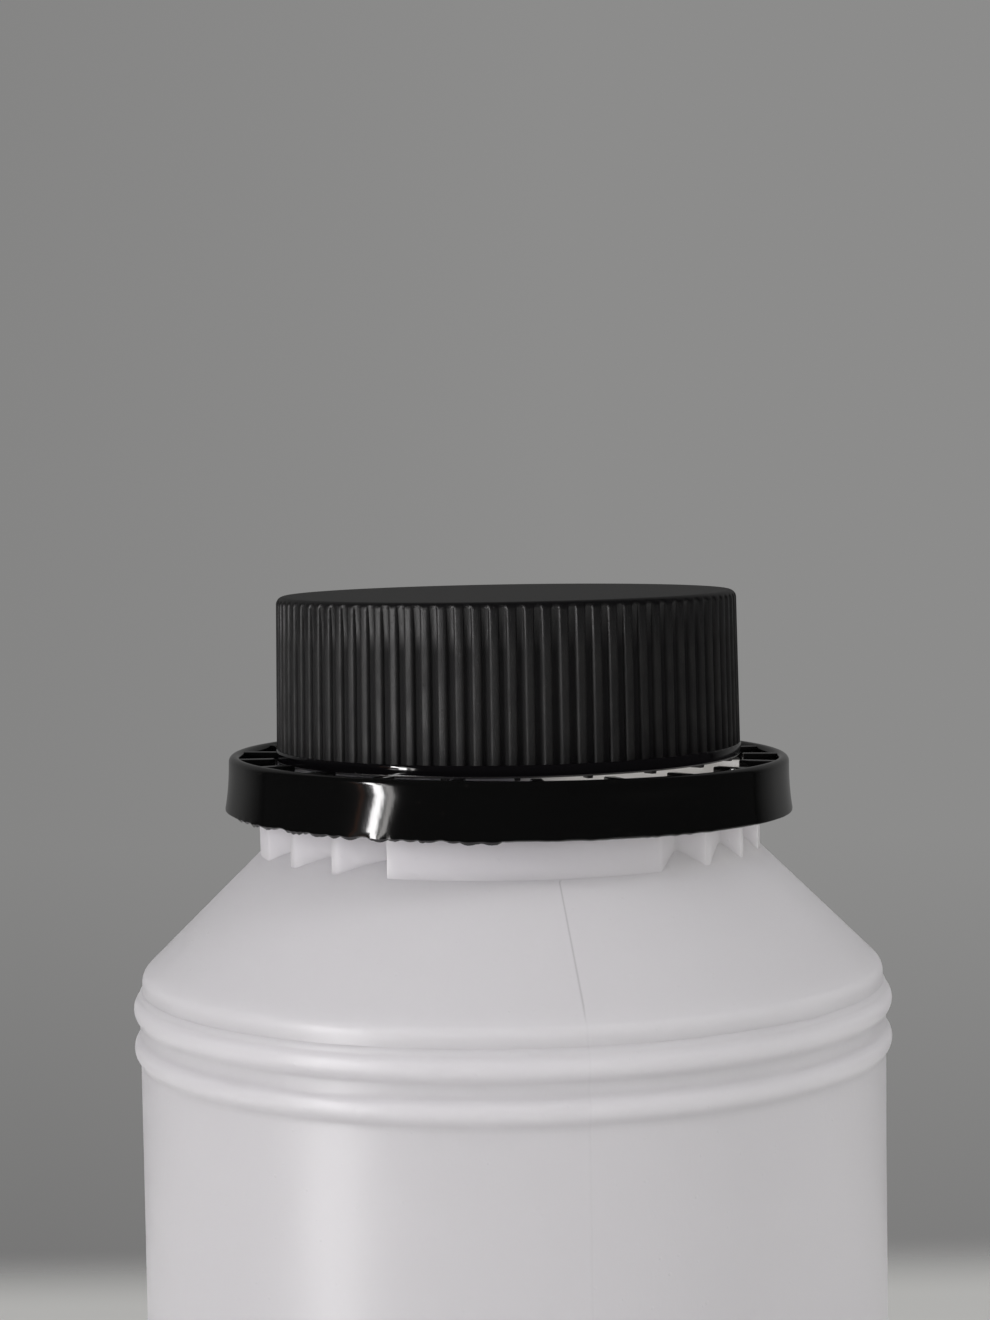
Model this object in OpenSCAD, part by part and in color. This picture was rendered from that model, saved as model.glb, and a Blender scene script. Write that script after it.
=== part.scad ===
// Round wide-neck bottle with a ribbed screw cap, a snapped tamper ring and a foam seal.
// Sizes in millimetres. The bottle stands on z = 0 with its axis on Z and its front to -Y.
// Places around the axis are given in degrees from the front, positive to the right.

/* [Body] */
// Outer diameter of the body
body_d = 93.3; // [90:0.1:110]
// Height of the corner between body and shoulder
body_h = 148.4; // [100:0.1:240]
// Wall thickness of the body, base and shoulder
wall = 1.3; // [0.9:0.1:1.7]
// Radius of the rounded heel
heel_r = 5; // [3:0.5:8]
// Width of the flat ring that the bottle stands on
foot_w = 3.5; // [2:0.5:6]
// Height of the hollow under the base
base_rise = 3; // [1:0.5:5]
// How far the wall above the beads stands back from the body
land_step = 0.35; // [0.1:0.05:0.6]
// Radius of the rounding between body and shoulder
shoulder_r = 2; // [2:0.5:5]
// Slope of the shoulder cone from the horizontal
shoulder_slope = 44.3; // [40:0.1:50]

/* [Beads] */
// Number of bead rings around the top of the body
bead_count = 2; // [1:1:4]
// Distance from the shoulder corner down to the middle of the first bead
bead_drop = 4.1; // [3.6:0.1:6]
// Distance from one bead to the next
bead_pitch = 4.83; // [4.5:0.01:8]
// Height of each bead along the wall
bead_span = 3; // [2.8:0.1:4.2]
// How far each bead stands out of the body
bead_rise = 0.75; // [0.3:0.05:1]

/* [Collar] */
// Outer diameter of the toothed collar
collar_d = 62.56; // [61:0.02:63.4]
// Height from the foot of the collar to the shelf on top
collar_h = 9.45; // [8.5:0.05:12]
// Thickness of the flange over the teeth
flange_t = 1.8; // [1:0.1:2.4]
// How far the flange stands out of the collar
flange_lip = 0.22; // [0.1:0.02:0.4]
// Depth of a ratchet tooth
tooth_depth = 2.1; // [1.4:0.1:2.6]
// Width of the flat crest of a tooth
tooth_land = 0.9; // [0.5:0.1:1.2]
// Teeth in each of the four groups
tooth_count = 3; // [1:1:3]
// Angle from one tooth to the next
tooth_pitch = 15; // [12:1:15]
// Angle from the middle of a group of teeth to the middle of its mould half
group_az = 37.5; // [34:0.5:40]
// Place of the line where the mould halves meet
parting_az = 10; // [0:1:20]
// Least wall behind a tooth
collar_wall = 2; // [1.4:0.1:2.6]
// Least wall between the shelf and the inside
shelf_wall = 2.2; // [1.6:0.1:2.6]

/* [Neck] */
// Diameter of the neck at the root of its thread
neck_d = 48.6; // [47.6:0.1:49]
// Diameter of the mouth
mouth_d = 43; // [36:0.5:44]
// Width of the bevel on the outer edge of the mouth
mouth_bevel = 0.4; // [0.2:0.1:0.8]

/* [Thread] */
// Rise of the thread in one turn
thread_pitch = 6; // [5.6:0.1:8]
// Turns of thread on the neck and in the cap
thread_turns = 1.5; // [1:0.25:1.75]
// How far the neck's thread stands out
thread_h = 1.5; // [1.2:0.1:1.8]
// Width of the thread at its crest
crest_w = 1.6; // [1.2:0.1:1.8]
// Distance from the mouth down to the top end of the neck's thread
thread_drop = 3.4; // [3:0.1:5]
// Height of the cap's thread above the rim of its skirt
thread_lift = 0.25; // [0.2:0.05:3]

/* [Cap] */
// Thickness of the skirt at its rim, with its ribs
skirt_wall = 2.7; // [2.4:0.1:3.6]
// Draft of the skirt in degrees
cap_draft = 0.87; // [0.2:0.01:1.2]
// Thickness of the cap's top
cap_top_t = 1.8; // [1.4:0.1:3]
// Number of grip ribs
grip_count = 88; // [60:4:96]
// Radius of one grip rib
grip_r = 0.66; // [0.5:0.02:0.7]
// How far the grip ribs stand out of the skirt
grip_h = 0.55; // [0.4:0.05:0.6]
// Distance from the top down to the ends of the ribs
grip_drop = 0.5; // [0.3:0.1:2]
// Height of the smooth band under the ribs
band_h = 1.5; // [1:0.1:3]
// How far the band stands out of the ribs
band_lip = 0.1; // [0.05:0.05:0.3]
// Radius of the rounded edge of the top
cap_edge_r = 1.2; // [0.6:0.1:1.6]
// Gap between the neck's thread and the inside of the cap
thread_gap = 0.5; // [0.3:0.05:0.6]
// Gap between the shelf and the rim of the skirt
skirt_gap = 2.1; // [2:0.05:3.2]
// Height of the stubs left of the snapped bridges
stub_h = 0.3; // [0.1:0.05:0.35]
// Width of a stub
stub_w = 0.8; // [0.5:0.1:1.2]
// Length of a stub along the radius
stub_l = 1.6; // [0.8:0.1:1.8]
// How far the cap has turned from where its bridges snapped
cap_turned = -4.1; // [-6:0.1:6]

/* [Tamper ring] */
// Gap between the flange and the ring
ring_gap = 2; // [1.6:0.05:2.6]
// Height of the ring
ring_h = 6.85; // [6.2:0.05:7.4]
// How far the loose ring leans to its right side
ring_tilt = 0.85; // [0:0.05:1]
// How much wider the ring's radius is at its lower edge
ring_flare = 0.45; // [0.1:0.05:0.8]
// Height of the flared part
flare_h = 1.8; // [1:0.1:3]
// Wall thickness of the ring
ring_wall = 1.5; // [1.2:0.05:1.6]
// Number of radial fins
fin_count = 21; // [12:1:24]
// Thickness of a fin
fin_t = 1.45; // [0.8:0.05:1.8]
// Height of a fin
fin_h = 1.7; // [1:0.1:2]
// How far the fins lie below the rim of the ring
fin_drop = 0.2; // [0.1:0.05:0.5]
// Gap between the fins and the skirt
fin_gap = 0.3; // [0.2:0.05:0.6]
// Place of the fin nearest the front
fin_az = 5.8; // [0:0.1:15]
// Width of a ratchet dog
dog_w = 1.5; // [1:0.1:2]
// Height of a ratchet dog
dog_h = 1.7; // [1.2:0.1:1.8]
// Gap around a ratchet dog in its tooth
dog_gap = 0.6; // [0.4:0.05:0.8]

/* [Seal] */
// Thickness of the foam seal
seal_t = 1.5; // [1:0.1:2]
// Gap between the seal and the cap's inside
seal_gap = 0.8; // [0.4:0.1:1.2]
// Gap between the seal and the cap's top
seal_air = 0.1; // [0.05:0.05:0.4]

/* [Hidden] */
$fn = 96;
embed = 0.3;
turn_steps = 36;
rib_sides = 24;
// Run of the slope under the base for its rise
dish_run = 2;
// Step of the root circle over the foot of a tooth
root_land = 0.15;
// How far a notch is drawn past its tips, as a share, and out of the collar
notch_over = 1.2;
notch_out = 3;
// Distance of the stubs from the rim's radius
rim_inset = 0.1;
// Degrees in which the thread's ends grow to full height, and the share they start at
lead = 40;
lead_start = 0.1;

body_r = body_d / 2;
land_r = body_r - land_step;
collar_r = collar_d / 2;
root_r = collar_r - tooth_depth;
root_land_r = root_r + root_land;
flange_r = collar_r + flange_lip;
neck_r = neck_d / 2;
mouth_r = mouth_d / 2;
crest_r = neck_r + thread_h;
cap_in_r = crest_r + thread_gap;
cap_crest_r = neck_r + thread_gap;
rim_r = cap_in_r + skirt_wall;
ring_in_r = flange_r + ring_gap;
ring_r = ring_in_r + ring_wall;

// Heights from the base up
cone_h = (land_r - collar_r) * tan(shoulder_slope);
collar_z = body_h + cone_h;
root_z = collar_z + (collar_r - root_land_r) * tan(shoulder_slope);
shelf_z = collar_z + collar_h;
flange_z = shelf_z - flange_t;
skirt_z = shelf_z + skirt_gap;

// The leaning ring stands on the edge of the flange, so its middle is lifted
ring_lift = flange_r * sin(ring_tilt);
rim_top = fin_h + fin_drop;

// Threads: the cap's lies under the neck's, so that it pulls the cap down
flank = tan(30);
foot_half = crest_w / 2 + (thread_h + embed) * flank;
cap_thread_drop = thread_pitch / 2 - thread_gap;
cap_thread_z = skirt_z + thread_lift + foot_half;
neck_thread_z = cap_thread_z + cap_thread_drop;
mouth_z = neck_thread_z + thread_turns * thread_pitch + thread_drop;
ceiling_z = mouth_z + seal_t + seal_air;
cap_z = ceiling_z + cap_top_t;

// Rounding between wall and cone
turn = 90 - shoulder_slope;
arc_z = body_h - shoulder_r * tan(turn / 2);
arc_r = land_r - shoulder_r;
cone_in = [sin(shoulder_slope), cos(shoulder_slope)];

// Hollow under the base
foot_r = body_r - heel_r - foot_w;
dish_r = foot_r - dish_run * base_rise;
inner_foot_r = foot_r + wall / 2;

// Inside of collar and neck
inner_r = body_r - wall;
collar_in_r = root_r - collar_wall;
shelf_sum = neck_r + shelf_z - shelf_wall * sqrt(2);

function at(az, r) = [r * sin(az), -r * cos(az)];
function arc_point(r, share) = [arc_r + r * share[0], arc_z + r * share[1]];
function bead_z(i) = body_h - bead_drop - i * bead_pitch;
function bead_round(rise) = (bead_span * bead_span / 4 + rise * rise) / (2 * rise);

// Rounds that stand out of a wall at each bead
module bead_rounds(wall_r, rise) {
    for (i = [0 : bead_count - 1])
        translate([wall_r + rise - bead_round(rise), bead_z(i)]) circle(r = bead_round(rise));
}

// Outer half of the bottle from its base to its mouth, without beads and rounded corners
module outer_half() {
    top = arc_point(shoulder_r, cone_in);
    polygon([
        [0, base_rise],
        [dish_r, base_rise],
        [foot_r, 0],
        [body_r - heel_r, 0],
        [body_r, heel_r],
        [body_r, bead_z(0)],
        [land_r, bead_z(0)],
        [land_r, arc_z],
        top,
        [root_land_r, root_z],
        [root_land_r, flange_z],
        [flange_r, flange_z],
        [flange_r, shelf_z - embed],
        [flange_r - embed, shelf_z],
        [neck_r, shelf_z],
        [neck_r, mouth_z - mouth_bevel],
        [neck_r - mouth_bevel, mouth_z],
        [0, mouth_z]
    ]);
    translate([body_r - heel_r, heel_r]) circle(r = heel_r);
    translate([arc_r, arc_z]) circle(r = shoulder_r);
    bead_rounds(body_r, bead_rise);
}

// Inside of the bottle, which follows the outside at the wall's thickness and is softer at the beads
module inner_half() {
    top = arc_point(shoulder_r - wall, cone_in);
    collar_low_z = top[1] + (top[0] - collar_in_r) * tan(shoulder_slope);
    polygon([
        [0, base_rise + wall],
        [dish_r + wall / 2, base_rise + wall],
        [inner_foot_r, wall],
        [body_r - heel_r, wall],
        [inner_r, heel_r],
        [inner_r, bead_z(0)],
        [land_r - wall, bead_z(0)],
        [land_r - wall, arc_z],
        top,
        [collar_in_r, collar_low_z],
        [collar_in_r, shelf_sum - collar_in_r],
        [mouth_r, shelf_sum - mouth_r],
        [mouth_r, mouth_z + 1],
        [0, mouth_z + 1]
    ]);
    translate([body_r - heel_r, heel_r]) circle(r = heel_r - wall);
    translate([arc_r, arc_z]) circle(r = shoulder_r - wall);
    bead_rounds(inner_r, bead_rise / 2);
}

// A tooth's step lies across the wall, or along the mould's pull where it would be held fast
function tooth_places() = [
    for (side = [-90, 90]) for (way = [-1, 1]) for (i = [0 : tooth_count - 1])
        side + way * group_az + (i - (tooth_count - 1) / 2) * tooth_pitch
];
function steps_out(place) = (place > -90 && place < 0) || place > 90;
function step_foot(place) =
    let (az = parting_az + place, tip = at(az, collar_r))
    steps_out(place) ? at(az, root_r) : tip - pull_run(place) * pull_way(place);
function pull_way(place) = at(parting_az + (place > 0 ? 90 : -90), 1);
// Length along the pull from the collar's face down to the root circle
function pull_run(place) =
    let (s = collar_r * abs(sin(place)))
    s - sqrt(s * s - collar_r * collar_r + root_r * root_r);

// Notch from the crest of one tooth down its ramp and up the next tooth's step, open to the outside
module tooth_notch(place) {
    az = parting_az + place;
    crest_az = az - tooth_pitch + tooth_land / collar_r * 180 / PI;
    foot = step_foot(place);
    out_r = collar_r + notch_out;
    polygon([
        foot + notch_over * (at(crest_az, collar_r) - foot),
        foot,
        foot + notch_over * (at(az, collar_r) - foot),
        at(az, out_r),
        at(az - tooth_pitch / 2, out_r),
        at(az - tooth_pitch, out_r)
    ]);
}

module collar_teeth() {
    translate([0, 0, collar_z - wall / 2])
        linear_extrude(flange_z + embed - collar_z + wall / 2)
            difference() {
                circle(r = collar_r);
                for (place = tooth_places()) tooth_notch(place);
            }
}

// Trapezoid of a thread at one angle, thinner towards the thread's ends
function thread_section(root, crest, z, t, total) =
    let (
        side = sign(crest - root),
        grow = min(1, t / lead, (total - t) / lead),
        foot = root - side * embed,
        tip = foot + (crest - foot) * max(grow, lead_start),
        half_tip = crest_w / 2,
        half_foot = half_tip + abs(crest - foot) * flank
    )
    [
        for (p = [[foot, -half_foot], [tip, -half_tip], [tip, half_tip], [foot, half_foot]])
            [p[0] * cos(t), p[0] * sin(t), z + thread_pitch * t / 360 + p[1]]
    ];

// Right-hand thread that winds up from z, on a neck or inside a cap
module thread(root, crest, z) {
    total = thread_turns * 360;
    steps = round(thread_turns * turn_steps);
    points = [
        for (i = [0 : steps]) each thread_section(root, crest, z, i * total / steps, total)
    ];
    sides = [
        for (i = [0 : steps - 1]) for (j = [0 : 3])
            let (a = 4 * i + j, b = 4 * i + (j + 1) % 4)
            each [[a, b, b + 4], [a, b + 4, a + 4]]
    ];
    ends = [[3, 2, 1, 0], [for (j = [0 : 3]) 4 * steps + j]];
    faces = concat(sides, ends);
    inward = crest < root;
    polyhedron(points, inward ? [for (f = faces) [for (k = [len(f) - 1 : -1 : 0]) f[k]]] : faces);
}

module bottle() {
    color([0.86, 0.86, 0.88]) {
        difference() {
            union() {
                rotate_extrude() outer_half();
                collar_teeth();
            }
            rotate_extrude() inner_half();
        }
        thread(neck_r, crest_r, neck_thread_z);
    }
}

// Band of the tamper ring, flared at its lower edge, with a full round rim
module ring_band() {
    low_z = rim_top - ring_h;
    rim = ring_wall / 2;
    rotate_extrude() {
        polygon([
            [ring_in_r, low_z],
            [ring_r + ring_flare, low_z],
            [ring_r + ring_flare / 3, low_z + flare_h],
            [ring_r, rim_top - rim],
            [ring_in_r, rim_top - rim]
        ]);
        translate([ring_r - rim, rim_top - rim]) circle(r = rim);
    }
}

// The ring lies with the underside of its fins at height 0 before it is tilted and lifted
module tamper_ring() {
    fin_in_r = rim_r + band_lip + fin_gap;
    dog_in_r = root_r + 2 * dog_gap;
    dog_z = flange_z - shelf_z - dog_gap / 2 - dog_h - 2 * ring_lift;
    color([0.06, 0.06, 0.07])
        translate([0, 0, shelf_z + ring_lift])
            rotate([0, ring_tilt, 0]) {
                ring_band();
                for (i = [0 : fin_count - 1])
                    rotate([0, 0, fin_az - 90 + i * 360 / fin_count])
                        translate([fin_in_r, -fin_t / 2, 0])
                            cube([ring_in_r + embed - fin_in_r, fin_t, fin_h]);
                for (place = tooth_places())
                    if (steps_out(place))
                        rotate([0, 0, parting_az + place - 90])
                            translate([dog_in_r, -dog_gap - dog_w, dog_z])
                                cube([ring_in_r + embed - dog_in_r, dog_w, dog_h]);
            }
}

// Skirt radius over the ribs at a height
function skirt_r(z) = rim_r - (z - skirt_z) * tan(cap_draft);

// Plain body of the cap under its ribs, with the rounded edge of the top and the lower band
module cap_core() {
    edge_z = cap_z - cap_edge_r;
    edge_r = skirt_r(edge_z) - grip_h;
    rotate_extrude() {
        polygon([
            [0, skirt_z],
            [rim_r + band_lip, skirt_z],
            [rim_r + band_lip, skirt_z + band_h],
            [skirt_r(skirt_z + band_h) - grip_h, skirt_z + band_h],
            [edge_r, edge_z],
            [edge_r - cap_edge_r, cap_z],
            [0, cap_z]
        ]);
        translate([edge_r - cap_edge_r, edge_z]) circle(r = cap_edge_r);
    }
}

module grip_ribs() {
    ribs_z = skirt_z + band_h / 2;
    for (i = [0 : grip_count - 1])
        rotate([0, 0, i * 360 / grip_count])
            translate([skirt_r(ribs_z) - grip_r, 0, ribs_z])
                rotate([0, -cap_draft, 0])
                    cylinder(r = grip_r, h = cap_z - grip_drop - ribs_z, $fn = rib_sides);
}

module screw_cap() {
    color([0.1, 0.1, 0.1]) {
        difference() {
            union() {
                cap_core();
                grip_ribs();
                for (i = [0 : fin_count - 1])
                    rotate([0, 0, fin_az + cap_turned - 90 + i * 360 / fin_count])
                        translate([rim_r - rim_inset - stub_l, -stub_w / 2, skirt_z - stub_h])
                            cube([stub_l, stub_w, stub_h + embed]);
            }
            translate([0, 0, skirt_z - 1]) cylinder(r = cap_in_r, h = ceiling_z - skirt_z + 1);
        }
        thread(cap_in_r, cap_crest_r, cap_thread_z);
    }
}

module seal_liner() {
    color([0.93, 0.93, 0.92])
        translate([0, 0, mouth_z]) cylinder(r = cap_in_r - seal_gap, h = seal_t);
}

bottle();
tamper_ring();
screw_cap();
seal_liner();
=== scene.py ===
import math
import random

import bmesh
import bpy
from mathutils import Matrix, Vector


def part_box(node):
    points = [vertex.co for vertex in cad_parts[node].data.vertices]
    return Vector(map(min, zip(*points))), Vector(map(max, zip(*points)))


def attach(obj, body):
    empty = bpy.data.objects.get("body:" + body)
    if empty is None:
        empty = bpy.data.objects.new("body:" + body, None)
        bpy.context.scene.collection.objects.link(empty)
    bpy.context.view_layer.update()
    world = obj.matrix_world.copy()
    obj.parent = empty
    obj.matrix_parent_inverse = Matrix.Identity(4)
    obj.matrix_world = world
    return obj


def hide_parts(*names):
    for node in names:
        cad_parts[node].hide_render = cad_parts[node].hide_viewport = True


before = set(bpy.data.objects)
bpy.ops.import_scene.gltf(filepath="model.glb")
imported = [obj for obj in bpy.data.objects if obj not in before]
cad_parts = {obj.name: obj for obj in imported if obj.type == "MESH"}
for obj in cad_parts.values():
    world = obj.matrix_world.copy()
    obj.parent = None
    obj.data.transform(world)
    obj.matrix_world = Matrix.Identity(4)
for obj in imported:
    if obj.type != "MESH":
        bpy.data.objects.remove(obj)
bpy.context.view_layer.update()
mm = 0.001
weld = 0.0005  # vertices closer than this, in mm, are joined
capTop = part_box("screw_cap")[1].z / mm
print("frame loaded, cap top at %.2f mm" % capTop)


# Places around the axis are in degrees from the front, positive to the right, as in the part
def at(az, r, z=0.0):
    a = math.radians(az)
    return Vector((r * math.sin(a), -r * math.cos(a), z))


def azOf(co):
    return math.degrees(math.atan2(co.x, -co.y))


def arc(cr, cz, r, start, end, steps):  # points on an arc of the profile, angles from the outward direction
    out = []
    for i in range(steps + 1):
        a = math.radians(start + (end - start) * i / steps)
        out.append((cr + r * math.cos(a), cz + r * math.sin(a)))
    return out


def spinRows(rows, columns, sectors, startAz):  # a closed shell of revolution whose vertices know their row
    bm = bmesh.new()
    tag = bm.verts.layers.int.new("row")
    last = None
    for i, (r, z) in enumerate(rows):
        v = bm.verts.new(at(startAz, max(r, 0.0), z))
        v[tag] = i
        if last:
            bm.edges.new((last, v))
        last = v
    sector = 2 * math.pi / sectors
    bmesh.ops.spin(bm, geom=list(bm.verts) + list(bm.edges), cent=(0, 0, 0), axis=(0, 0, 1), dvec=(0, 0, 0),
                   angle=sector, steps=columns // sectors)
    wedge = list(bm.verts) + list(bm.edges) + list(bm.faces)
    for i in range(1, sectors):
        copied = bmesh.ops.duplicate(bm, geom=wedge)["geom"]
        bmesh.ops.rotate(bm, cent=(0, 0, 0), matrix=Matrix.Rotation(sector * i, 3, "Z"),
                         verts=[v for v in copied if isinstance(v, bmesh.types.BMVert)])
    bmesh.ops.remove_doubles(bm, verts=bm.verts, dist=weld)
    return bm, tag


def joinPart(bm, part):  # adds a part made on its own to a piece
    spare = bpy.data.meshes.new("spare")
    part.to_mesh(spare)
    part.free()
    bm.from_mesh(spare)
    bpy.data.meshes.remove(spare)


thread = {"steps": 96, "flank": 30, "sunk": 0.3, "edgeIn": 0.25, "edgeOut": 0.12, "edgeFlat": 0.2,
          "startAz": 90, "endRise": 0.08, "endThin": 0.35}


def windThread(piece, root, crest, z, pitch, turns, half, lead):  # a screw thread, wound up from z
    bm = bmesh.new()
    side = 1 if crest > root else -1
    foot = root - side * thread["sunk"]
    flank = math.tan(math.radians(thread["flank"]))
    tall = abs(crest - foot)
    edgeR = crest - side * thread["edgeIn"]
    edgeZ = half + thread["edgeOut"]
    flatZ = half - thread["edgeFlat"]
    outline = [(foot, -half - tall * flank), (edgeR, -edgeZ), (crest, -flatZ),
               (crest, flatZ), (edgeR, edgeZ), (foot, half + tall * flank)]
    verts = [bm.verts.new(at(thread["startAz"], r, z + h)) for r, h in outline]
    face = bm.faces.new(verts)
    steps = int(turns * thread["steps"])
    bmesh.ops.spin(bm, geom=[face] + list(face.edges) + verts, cent=(0, 0, 0), axis=(0, 0, 1),
                   dvec=(0, 0, pitch / thread["steps"]), angle=math.radians(turns * 360), steps=steps)
    total = turns * 360
    for v in bm.verts:
        r = math.hypot(v.co.x, v.co.y)
        for k in range(int(turns) + 2):
            t = (azOf(v.co) - thread["startAz"]) % 360 + 360 * k
            middle = z + pitch * t / 360
            if abs(v.co.z - middle) < pitch / 2 and t <= total + 1:
                grow = max(thread["endRise"], min(1, t / lead, (total - t) / lead))
                share = (foot + (r - foot) * grow) / r
                v.co.x *= share
                v.co.y *= share
                v.co.z = middle + (v.co.z - middle) * (thread["endThin"] + (1 - thread["endThin"]) * grow)
                break
    joinPart(piece, bm)


def makePiece(bm, name, body, material, sharp, replaced=None):
    bmesh.ops.remove_doubles(bm, verts=bm.verts, dist=weld)
    bmesh.ops.recalc_face_normals(bm, faces=bm.faces)
    bmesh.ops.scale(bm, vec=(mm, mm, mm), verts=bm.verts)
    mesh = bpy.data.meshes.new(name)
    bm.to_mesh(mesh)
    bm.free()
    mesh.shade_smooth()
    mesh.set_sharp_from_angle(angle=math.radians(sharp))
    piece = bpy.data.objects.new(name, mesh)
    bpy.context.scene.collection.objects.link(piece)
    mesh.materials.append(material)
    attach(piece, body)
    if replaced:
        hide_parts(replaced)
    print(name, len(mesh.polygons), "faces")
    return piece


def node(tree, kind, values=None, **settings):
    n = tree.nodes.new(kind)
    for key, value in settings.items():
        setattr(n, key, value)
    for key, value in (values or {}).items():
        n.inputs[key].default_value = value
    return n


def newMaterial(name, values):
    mat = bpy.data.materials.new(name)
    mat.use_nodes = True
    tree = mat.node_tree
    skin = tree.nodes["Principled BSDF"]
    for key, value in values.items():
        skin.inputs[key].default_value = value
    return mat, tree, skin


def groupTree(name, inputs, outputs):
    tree = bpy.data.node_groups.new(name, "ShaderNodeTree")
    for label, value in inputs.items():
        s = tree.interface.new_socket(name=label, in_out="INPUT", socket_type="NodeSocketFloat")
        s.default_value = value
    for label, kind in outputs.items():
        tree.interface.new_socket(name=label, in_out="OUTPUT", socket_type=kind)
    return tree, tree.nodes.new("NodeGroupInput"), tree.nodes.new("NodeGroupOutput")


def buildSkinGroup():  # fine grain of a moulded surface: a height for bump and a mask of soft patches
    tree, put, out = groupTree("mouldedSkin", {"Grain": 900.0, "Patch": 60.0, "Stretch": 1.0},
                               {"Height": "NodeSocketFloat", "Patches": "NodeSocketFloat"})
    link = tree.links.new
    place = node(tree, "ShaderNodeTexCoord")
    stretch = node(tree, "ShaderNodeCombineXYZ", {"X": 1.0, "Y": 1.0})
    link(put.outputs["Stretch"], stretch.inputs["Z"])
    turn = node(tree, "ShaderNodeMapping")
    link(place.outputs["Object"], turn.inputs["Vector"])
    link(stretch.outputs[0], turn.inputs["Scale"])
    grain = node(tree, "ShaderNodeTexNoise", {"Detail": 3.0, "Roughness": 0.6})
    link(turn.outputs[0], grain.inputs["Vector"])
    link(put.outputs["Grain"], grain.inputs["Scale"])
    patch = node(tree, "ShaderNodeTexNoise", {"Detail": 2.0, "Roughness": 0.5})
    link(turn.outputs[0], patch.inputs["Vector"])
    link(put.outputs["Patch"], patch.inputs["Scale"])
    soft = node(tree, "ShaderNodeMapRange", {"From Min": 0.3, "From Max": 0.7}, interpolation_type="SMOOTHSTEP")
    link(patch.outputs["Fac"], soft.inputs["Value"])
    link(grain.outputs["Fac"], out.inputs["Height"])
    link(soft.outputs[0], out.inputs["Patches"])
    return tree


def buildSpeckGroup():  # scattered specks of dust: a mask, 1 on each speck
    tree, put, out = groupTree("dustSpecks", {"Size": 1800.0, "Share": 0.3, "Stretch": 1.0},
                               {"Mask": "NodeSocketFloat"})
    link = tree.links.new
    place = node(tree, "ShaderNodeTexCoord")
    stretch = node(tree, "ShaderNodeCombineXYZ", {"X": 1.0, "Y": 1.0})
    link(put.outputs["Stretch"], stretch.inputs["Z"])
    turn = node(tree, "ShaderNodeMapping")
    link(place.outputs["Object"], turn.inputs["Vector"])
    link(stretch.outputs[0], turn.inputs["Scale"])
    cells = node(tree, "ShaderNodeTexVoronoi", {"Randomness": 1.0})
    link(turn.outputs[0], cells.inputs["Vector"])
    link(put.outputs["Size"], cells.inputs["Scale"])
    pick = node(tree, "ShaderNodeSeparateColor")
    link(cells.outputs["Color"], pick.inputs[0])
    chosen = node(tree, "ShaderNodeMath", operation="LESS_THAN")
    link(pick.outputs[0], chosen.inputs[0])
    link(put.outputs["Share"], chosen.inputs[1])
    near = node(tree, "ShaderNodeMapRange", {"From Min": 0.45, "From Max": 0.2}, clamp=True)
    link(cells.outputs["Distance"], near.inputs["Value"])
    both = node(tree, "ShaderNodeMath", operation="MULTIPLY")
    link(chosen.outputs[0], both.inputs[0])
    link(near.outputs[0], both.inputs[1])
    link(both.outputs[0], out.inputs["Mask"])
    return tree


skinGroup = buildSkinGroup()
speckGroup = buildSpeckGroup()


def placeGroup(tree, group, values):
    n = node(tree, "ShaderNodeGroup", node_tree=group)
    for key, value in values.items():
        n.inputs[key].default_value = value
    return n


def bumpFrom(tree, height, strength, distance):
    b = node(tree, "ShaderNodeBump", {"Strength": strength, "Distance": distance})
    tree.links.new(height, b.inputs["Height"])
    return b


def blendColor(tree, mask, low, high):
    m = node(tree, "ShaderNodeMix", data_type="RGBA")
    m.inputs["A"].default_value = (*low, 1)
    m.inputs["B"].default_value = (*high, 1)
    tree.links.new(mask, m.inputs["Factor"])
    return m.outputs["Result"]


def blendValue(tree, mask, low, high):
    m = node(tree, "ShaderNodeMapRange", {"To Min": low, "To Max": high}, clamp=True)
    tree.links.new(mask, m.inputs["Value"])
    return m.outputs[0]


def zStep(tree, z, height, soft):  # 0 below a height in mm, 1 above it
    step = node(tree, "ShaderNodeMapRange", {"From Min": (height - soft) * mm,
                                             "From Max": (height + soft) * mm}, clamp=True)
    tree.links.new(z, step.inputs["Value"])
    return step.outputs[0]


# Materials
milkyLook = {
    "depth": 0.0045, "tone": (0.665, 0.647, 0.682), "patchTone": (0.668, 0.65, 0.685),
    "rough": (0.33, 0.35), "bump": 0.18,
    "collarShade": 0.95, "collarFrom": 162.6, "collarTo": 172.3, "collarRough": 0.55, "collarGlow": 0.3,
    "throatGlow": 0.22, "throatTo": 177.0, "throatSpan": (0.001, 0.007), "collarSpan": (0.002, 0.024),
    "glowTint": (1.0, 0.97, 0.9), "seamShade": 0.72, "speckRise": 2.5, "bumpDepth": 0.00008,
}


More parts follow.
